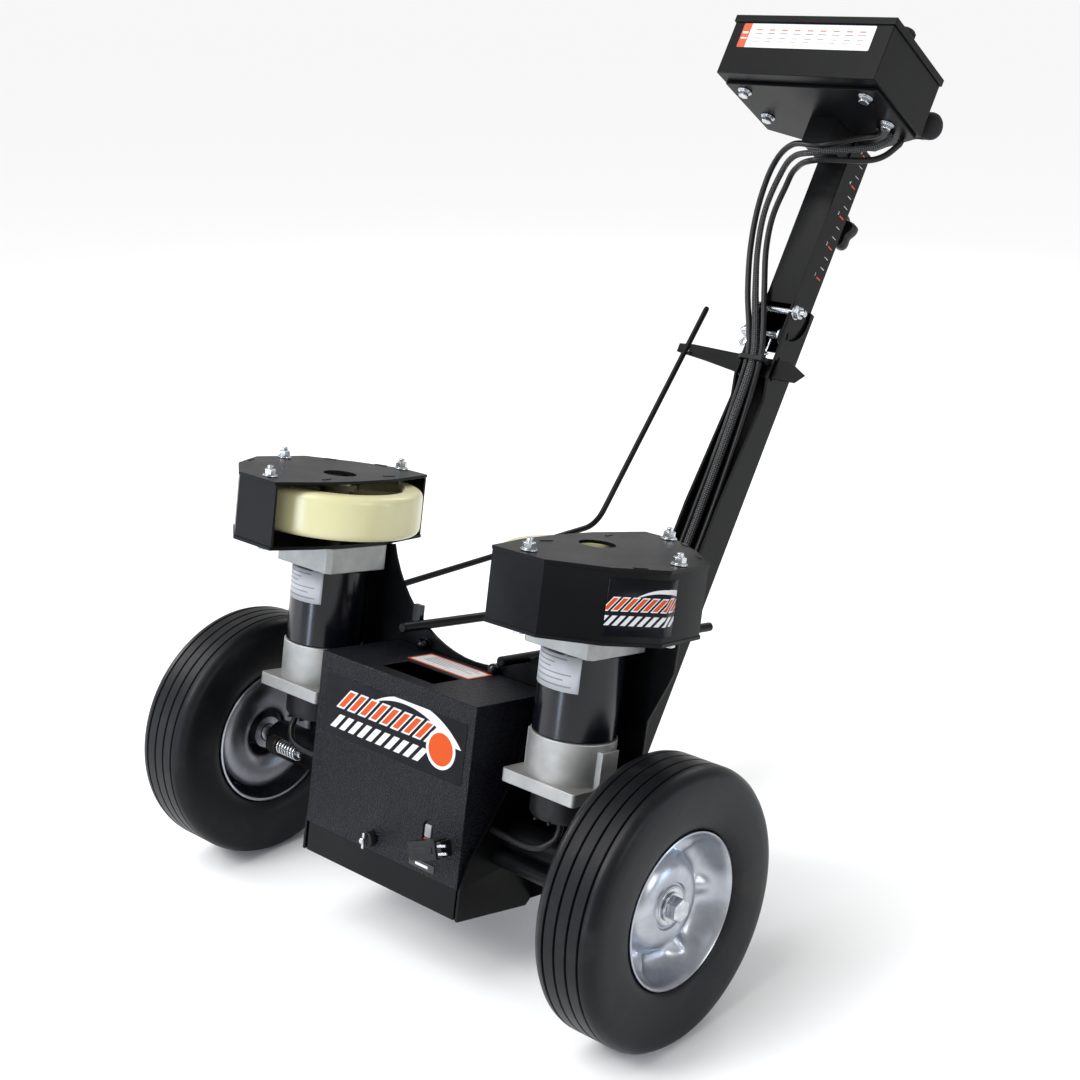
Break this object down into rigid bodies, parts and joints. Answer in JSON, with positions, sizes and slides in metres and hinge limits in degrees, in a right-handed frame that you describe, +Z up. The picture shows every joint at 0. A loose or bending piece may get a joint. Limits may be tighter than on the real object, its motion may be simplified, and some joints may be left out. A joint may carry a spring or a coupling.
{
  "type": "ball throwing machine",
  "caption": "Portable two-wheel ball throwing machine with upright motors, a battery box, ground wheels and a folding mast that carries the control box.",
  "frame": {"origin": "on the floor, at the middle of the rear foot's sole", "axes": "+Z up, the ball leaves towards -Y, +X along the wheel axle"},
  "size_m": [0.6, 0.828, 0.8395],
  "materials": {
    "black_powder_coat": "satin powder coat",
    "wrinkle_black": "textured wrinkle coat",
    "gloss_black": "gloss enamel",
    "tyre_rubber": "ribbed tread",
    "pressed_rim": "satin silver",
    "zinc_plate": "zinc plated",
    "cast_aluminium": "as cast and milled",
    "cream_urethane": "satin urethane",
    "black_plastic": "satin moulded",
    "foam_grip": "foam sleeve",
    "red_plastic": "moulded"
  },
  "bodies": {
    "chassis": {"ball_rail_left": "black_powder_coat", "ball_rail_right": "black_powder_coat", "battery": "black_plastic", "battery_tray": "black_powder_coat", "brush_cap_left": "black_plastic", "brush_cap_right": "black_plastic", "cable_left": "black_plastic", "cable_middle": "black_plastic", "cable_right": "black_plastic", "guard_bolt_left_1": "zinc_plate", "guard_bolt_left_2": "zinc_plate", "guard_bolt_left_3": "zinc_plate", "guard_bolt_right_1": "zinc_plate", "guard_bolt_right_2": "zinc_plate", "guard_bolt_right_3": "zinc_plate", "guard_top_left": "black_powder_coat", "guard_top_right": "black_powder_coat", "guard_tray_left": "black_powder_coat", "guard_tray_right": "black_powder_coat", "guide_rod": "black_powder_coat", "hub_bolt_left": "zinc_plate", "hub_bolt_right": "zinc_plate", "lock_plunger": "zinc_plate", "mast_bracket": "black_powder_coat", "mast_channel": "black_powder_coat", "motor_bell_left": "cast_aluminium", "motor_bell_right": "cast_aluminium", "motor_can_left": "gloss_black", "motor_can_right": "gloss_black", "motor_lead_left": "black_plastic", "motor_lead_right": "black_plastic", "motor_mount_left": "cast_aluminium", "motor_mount_right": "cast_aluminium", "pivot_bolt": "zinc_plate", "rear_foot": "tyre_rubber", "side_plate_left": "black_powder_coat", "side_plate_right": "black_powder_coat", "yoke_plate": "black_powder_coat", "zip_tie": "black_plastic"},
    "wheel_right": {"tyre_right": "tyre_rubber", "rim_right": "pressed_rim"},
    "wheel_left": {"tyre_left": "tyre_rubber", "rim_left": "pressed_rim"},
    "throw_right": {"throw_wheel_right": "cream_urethane"},
    "throw_left": {"throw_wheel_left": "cream_urethane"},
    "mast_upper": {"mast_tube": "black_powder_coat", "lock_bolt": "zinc_plate", "box_plate": "black_powder_coat", "control_case": "black_powder_coat", "control_panel": "black_powder_coat"},
    "wing_nut": {"wing_nut": "zinc_plate"},
    "star_knob": {"star_knob": "black_plastic"},
    "handle": {"handle_stem": "black_powder_coat", "handle_grip": "foam_grip"},
    "dial_right": {"speed_dial_right": "black_plastic"},
    "dial_left": {"speed_dial_left": "black_plastic"},
    "switch": {"power_switch": "red_plastic"},
    "cover": {"battery_cover": "wrinkle_black", "charge_connector": "red_plastic"},
    "latch": {"latch_knob": "black_plastic"}
  },
  "joints": [
    {"name": "wheel_right_spin", "type": "hinge", "parent": "chassis", "child": "wheel_right", "pos_m": [0.267, -0.234, 0.127], "axis": [1, 0, 0], "continuous": true},
    {"name": "wheel_left_spin", "type": "hinge", "parent": "chassis", "child": "wheel_left", "pos_m": [-0.267, -0.234, 0.127], "axis": [1, 0, 0], "continuous": true},
    {"name": "throw_right_spin", "type": "hinge", "parent": "chassis", "child": "throw_right", "pos_m": [0.165, -0.20264, 0.38548], "axis": [0, 0.1736, 0.9848], "continuous": true},
    {"name": "throw_left_spin", "type": "hinge", "parent": "chassis", "child": "throw_left", "pos_m": [-0.165, -0.20264, 0.38548], "axis": [0, 0.1736, 0.9848], "continuous": true},
    {"name": "mast_fold", "type": "hinge", "parent": "chassis", "child": "mast_upper", "pos_m": [0, 0.30317, 0.52982], "axis": [1, 0, 0], "range_deg": [0, 135], "deforming": ["cable_left", "cable_middle", "cable_right"]},
    {"name": "handle_slide", "type": "slide", "parent": "mast_upper", "child": "handle", "axis": [0, 0.5446, 0.8387], "range_m": [0, 0.09]},
    {"name": "star_knob_turn", "type": "hinge", "parent": "mast_upper", "child": "star_knob", "pos_m": [0, 0.41629, 0.60302], "axis": [0, 0.8387, -0.5446], "range_deg": [0, 360]},
    {"name": "wing_nut_turn", "type": "hinge", "parent": "mast_upper", "child": "wing_nut", "pos_m": [-0.03, 0.29266, 0.50445], "axis": [1, 0, 0], "range_deg": [0, 360]},
    {"name": "dial_right_turn", "type": "hinge", "parent": "mast_upper", "child": "dial_right", "pos_m": [0.082, 0.39176, 0.81128], "axis": [0, 0.5446, 0.8387], "range_deg": [0, 270]},
    {"name": "dial_left_turn", "type": "hinge", "parent": "mast_upper", "child": "dial_left", "pos_m": [-0.082, 0.39176, 0.81128], "axis": [0, 0.5446, 0.8387], "range_deg": [0, 270]},
    {"name": "switch_rock", "type": "hinge", "parent": "mast_upper", "child": "switch", "pos_m": [0, 0.39176, 0.81128], "axis": [1, 0, 0], "range_deg": [0, 15]},
    {"name": "cover_slide", "type": "slide", "parent": "chassis", "child": "cover", "axis": [0, -0.9848, 0.1736], "range_m": [0, 0.1]},
    {"name": "latch_turn", "type": "hinge", "parent": "cover", "child": "latch", "pos_m": [-0.01, -0.30922, 0.11792], "axis": [0, 0.9848, -0.1736], "range_deg": [0, 90]}
  ]
}
